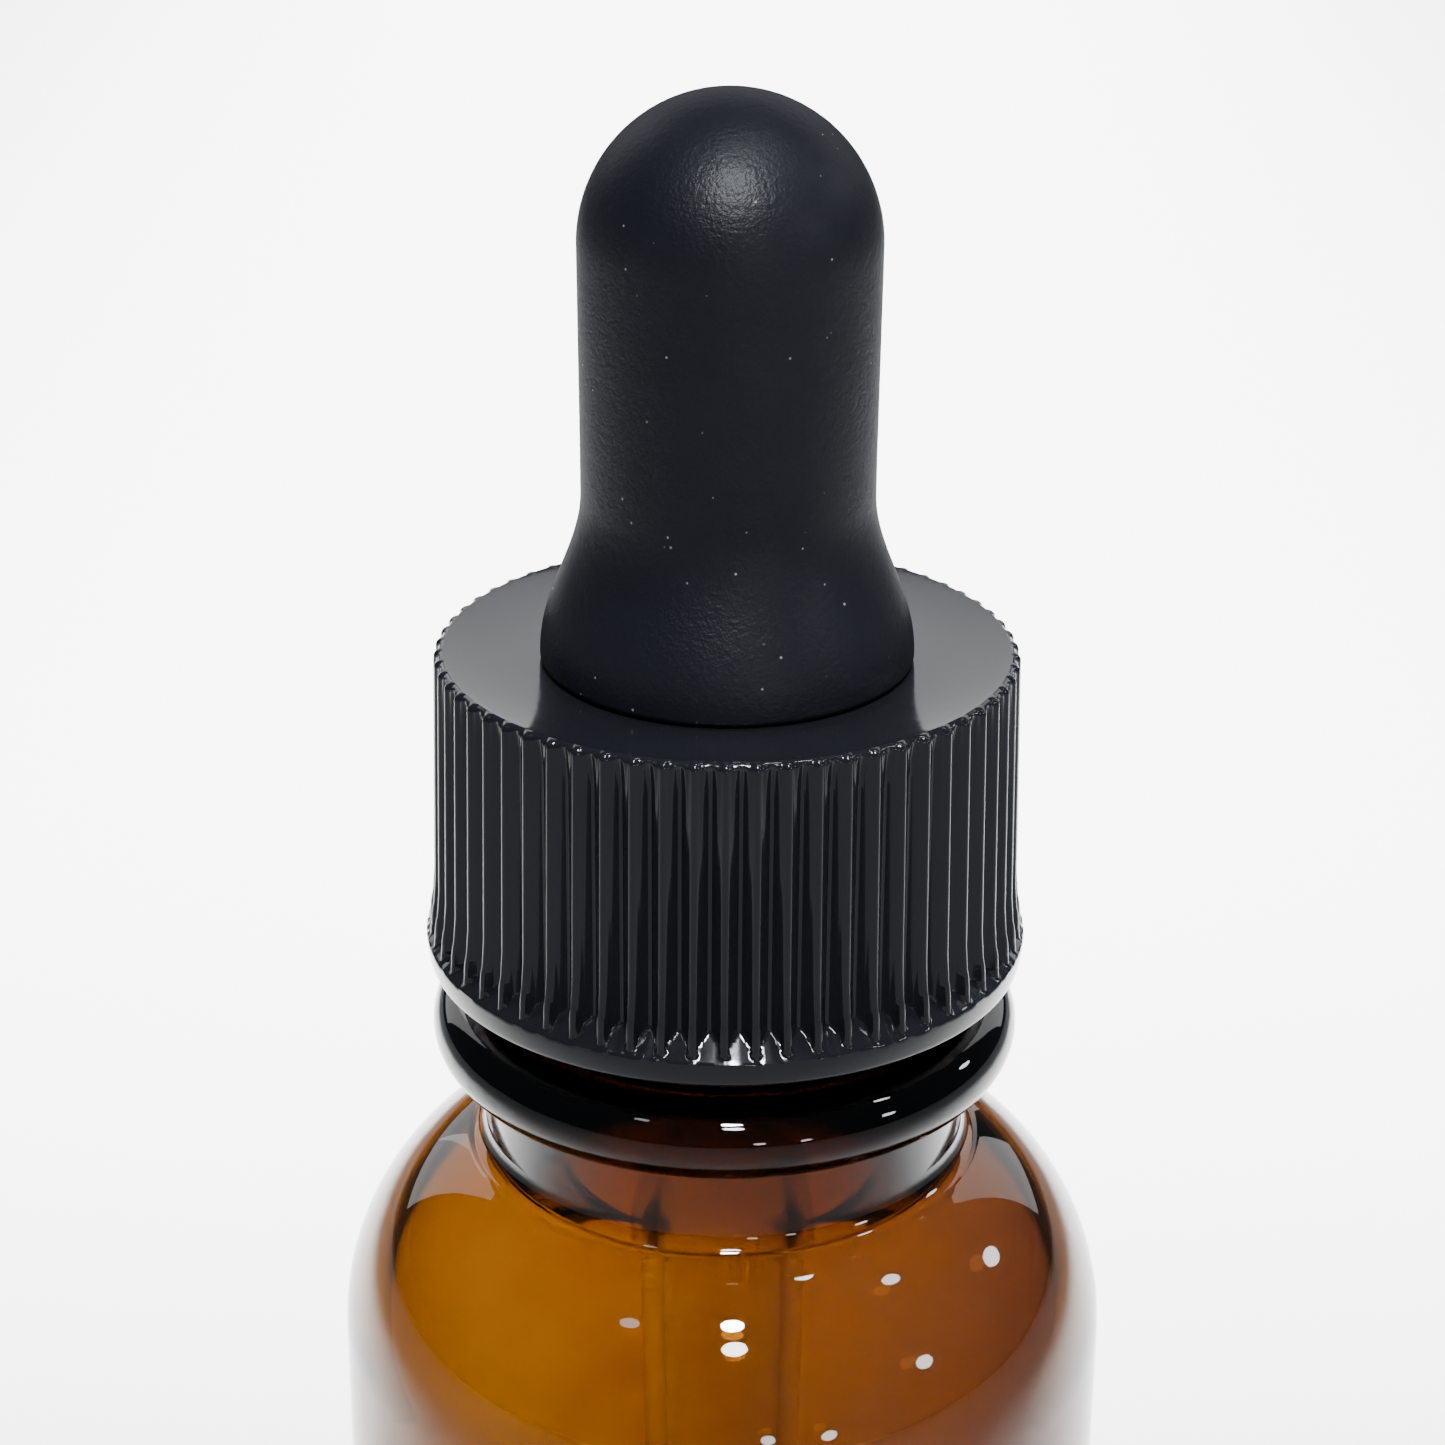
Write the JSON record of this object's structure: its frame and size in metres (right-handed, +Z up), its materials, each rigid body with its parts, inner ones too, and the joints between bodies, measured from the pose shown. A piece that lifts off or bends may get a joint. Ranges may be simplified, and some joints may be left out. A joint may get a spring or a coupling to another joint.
{
  "type": "amber dropper bottle",
  "caption": "Amber glass round bottle with a ribbed screw cap, a rubber squeeze bulb and a glass pipette that lifts out with the cap.",
  "frame": {"origin": "centre of the bottle's base, on the plane it stands on", "axes": "+Z up along the bottle's axis, through the neck, pipette and bulb; +X and +Y across, +X being the way the bulb is pressed"},
  "size_m": [0.033, 0.033, 0.1049],
  "materials": {
    "amber_glass": "clear gloss amber glass",
    "black_gloss_plastic": "moulded gloss black phenolic",
    "black_rubber": "matt black rubber with a fine grain",
    "clear_glass": "clear gloss glass"
  },
  "bodies": {
    "bottle": {"glass_bottle": "amber_glass"},
    "pipette": {"glass_pipette": "clear_glass"},
    "cap": {"screw_cap": "black_gloss_plastic"},
    "bulb": {"rubber_bulb": "black_rubber"}
  },
  "joints": [
    {"name": "lift", "type": "slide", "parent": "bottle", "child": "pipette", "axis": [0, 0, 1], "range_m": [0, 0.0763]},
    {"name": "cap_turn", "type": "hinge", "parent": "pipette", "child": "cap", "pos_m": [0, 0, 0.075], "axis": [0, 0, 1], "range_deg": [0, 8640]},
    {"name": "bulb_squeeze", "type": "slide", "parent": "pipette", "child": "bulb", "axis": [1, 0, 0], "range_m": [0, 0.0035], "stiffness_N_per_m": 600, "deforming": ["rubber_bulb"]}
  ],
  "couplings": [
    {"joint": "lift", "follows": "cap_turn", "m_per_rad": 0.00050532}
  ]
}
